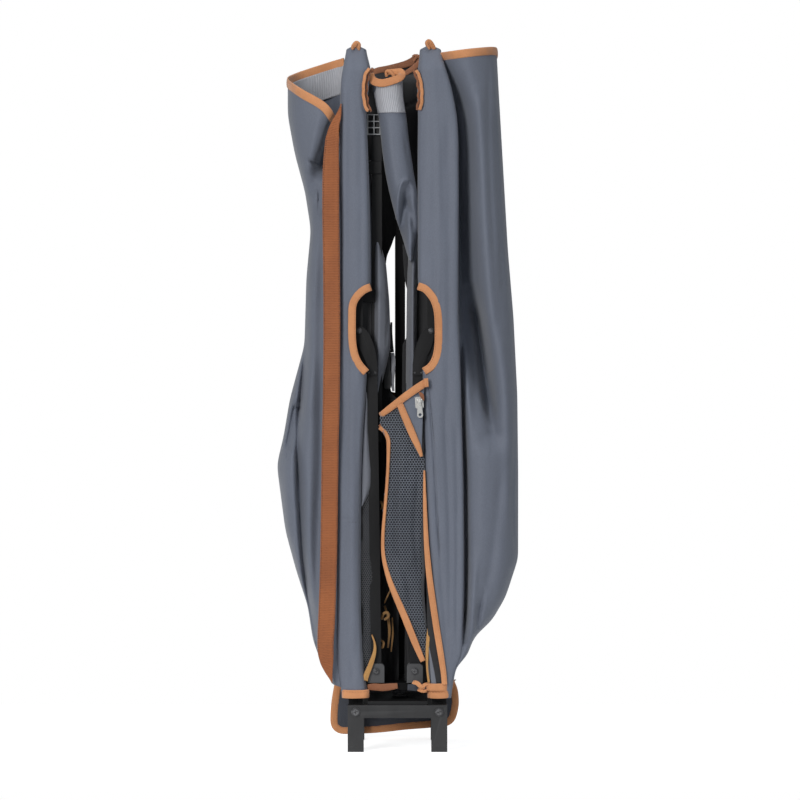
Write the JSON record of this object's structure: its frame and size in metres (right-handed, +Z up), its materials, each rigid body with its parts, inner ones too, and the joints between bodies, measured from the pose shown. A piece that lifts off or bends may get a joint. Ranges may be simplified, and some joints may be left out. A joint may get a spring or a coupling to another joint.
{
  "type": "folding fabric bag on steel stand",
  "caption": "Tall open-topped slate fabric bag with tan bindings on a folding black square-tube steel stand, folded flat and standing on its foot brackets.",
  "frame": {"origin": "on the standing surface, midway between the four legs", "axes": "+Z up, +X to the right and -Y to the front, the side with the mesh flap and zip"},
  "size_m": [0.377, 0.255, 1.103],
  "materials": {
    "steel_black": "satin",
    "steel_grey": "satin",
    "fastener": "satin",
    "plastic_black": "matte",
    "fabric_slate": "matte",
    "binding_tan": "matte",
    "webbing_tan": "matte",
    "band_grey": "matte",
    "mesh_dark": "matte",
    "tape_black": "matte",
    "zip_metal": "satin"
  },
  "bodies": {
    "base": {"foot_front": "steel_black", "foot_rear": "steel_black", "leg_plugs": "plastic_black", "base_plate": "steel_black", "guide_socket": "steel_grey", "socket_screws": "fastener", "guide_tube": "steel_black", "guide_cap": "plastic_black", "pivot_screws": "fastener", "pivot_spacers": "fastener", "floor_tab": "tape_black"},
    "left_frame": {"left_post_front": "steel_black", "left_post_rear": "steel_black", "left_post_plugs": "plastic_black", "left_spreader_top": "steel_black", "left_spreader_low": "steel_black", "left_stay_tube": "steel_black", "left_stay_ties": "steel_black", "left_stay_cap": "plastic_black", "left_sleeve_front": "fabric_slate", "left_sleeve_rear": "fabric_slate", "left_panel_front": "fabric_slate", "left_panel_side": "fabric_slate", "left_panel_rear": "fabric_slate", "left_rim_band": "band_grey", "left_rim_binding": "binding_tan", "left_moon_bindings": "binding_tan", "left_strap": "webbing_tan", "left_inner_fold": "fabric_slate", "left_pocket": "mesh_dark", "left_rear_cloth": "fabric_slate", "buckle": "plastic_black"},
    "right_frame": {"right_post_front": "steel_black", "right_post_rear": "steel_black", "right_post_plugs": "plastic_black", "right_spreader_top": "steel_black", "right_spreader_low": "steel_black", "right_sleeve_front": "fabric_slate", "right_sleeve_rear": "fabric_slate", "right_panel_front": "fabric_slate", "right_panel_side": "fabric_slate", "right_panel_rear": "fabric_slate", "right_rim_binding": "binding_tan", "right_moon_bindings": "binding_tan", "right_inner_fold": "fabric_slate", "right_rear_cloth": "fabric_slate", "front_fold": "fabric_slate", "mesh_flap": "mesh_dark", "zip_tape": "tape_black"},
    "left_braces": {"left_brace_tubes": "steel_black", "left_brace_plates": "steel_black", "left_rivets": "fastener"},
    "right_braces": {"right_brace_tubes": "steel_black", "right_brace_plates": "steel_black", "right_rivets": "fastener"},
    "hub": {"hub_frame": "steel_black", "hub_brackets": "steel_grey", "hub_screws": "fastener"},
    "zip_slider": {"zip_slider": "zip_metal"},
    "zip_pull": {"zip_pull": "zip_metal"},
    "floor_flap": {"floor_panel": "fabric_slate", "floor_binding": "binding_tan"}
  },
  "joints": [
    {"name": "left_splay", "type": "hinge", "parent": "base", "child": "left_frame", "pos_m": [-0.065, 0, 0.0625], "axis": [0, -1, 0], "range_deg": [0, 15]},
    {"name": "right_splay", "type": "hinge", "parent": "base", "child": "right_frame", "pos_m": [0.065, 0, 0.0625], "axis": [0, 1, 0], "range_deg": [0, 15]},
    {"name": "left_brace_turn", "type": "hinge", "parent": "left_frame", "child": "left_braces", "pos_m": [-0.06, 0, 0.655], "axis": [0, -1, 0], "range_deg": [0, 2]},
    {"name": "right_brace_turn", "type": "hinge", "parent": "right_frame", "child": "right_braces", "pos_m": [0.05255, 0, 0.65489], "axis": [0, 1, 0], "range_deg": [0, 2]},
    {"name": "hub_rise", "type": "slide", "parent": "base", "child": "hub", "axis": [0, 0, 1], "range_m": [0, 0.0126]},
    {"name": "zip_slide", "type": "slide", "parent": "right_frame", "child": "zip_slider", "axis": [0.0655, 0, -0.9979], "range_m": [0, 0.38]},
    {"name": "zip_pull_swing", "type": "hinge", "parent": "zip_slider", "child": "zip_pull", "pos_m": [0.03371, -0.1213, 0.54721], "axis": [-0.9979, 0, -0.0655], "range_deg": [0, 150]},
    {"name": "floor_flap_swing", "type": "hinge", "parent": "base", "child": "floor_flap", "pos_m": [0, 0.1257, 0.102], "axis": [1, 0, 0], "range_deg": [0, 90]}
  ],
  "couplings": [
    {"joint": "right_splay", "follows": "left_splay", "ratio": 1},
    {"joint": "left_brace_turn", "follows": "left_splay", "ratio": 0.127},
    {"joint": "right_brace_turn", "follows": "left_splay", "ratio": 0.127},
    {"joint": "hub_rise", "follows": "left_splay", "m_per_rad": 0.048}
  ]
}
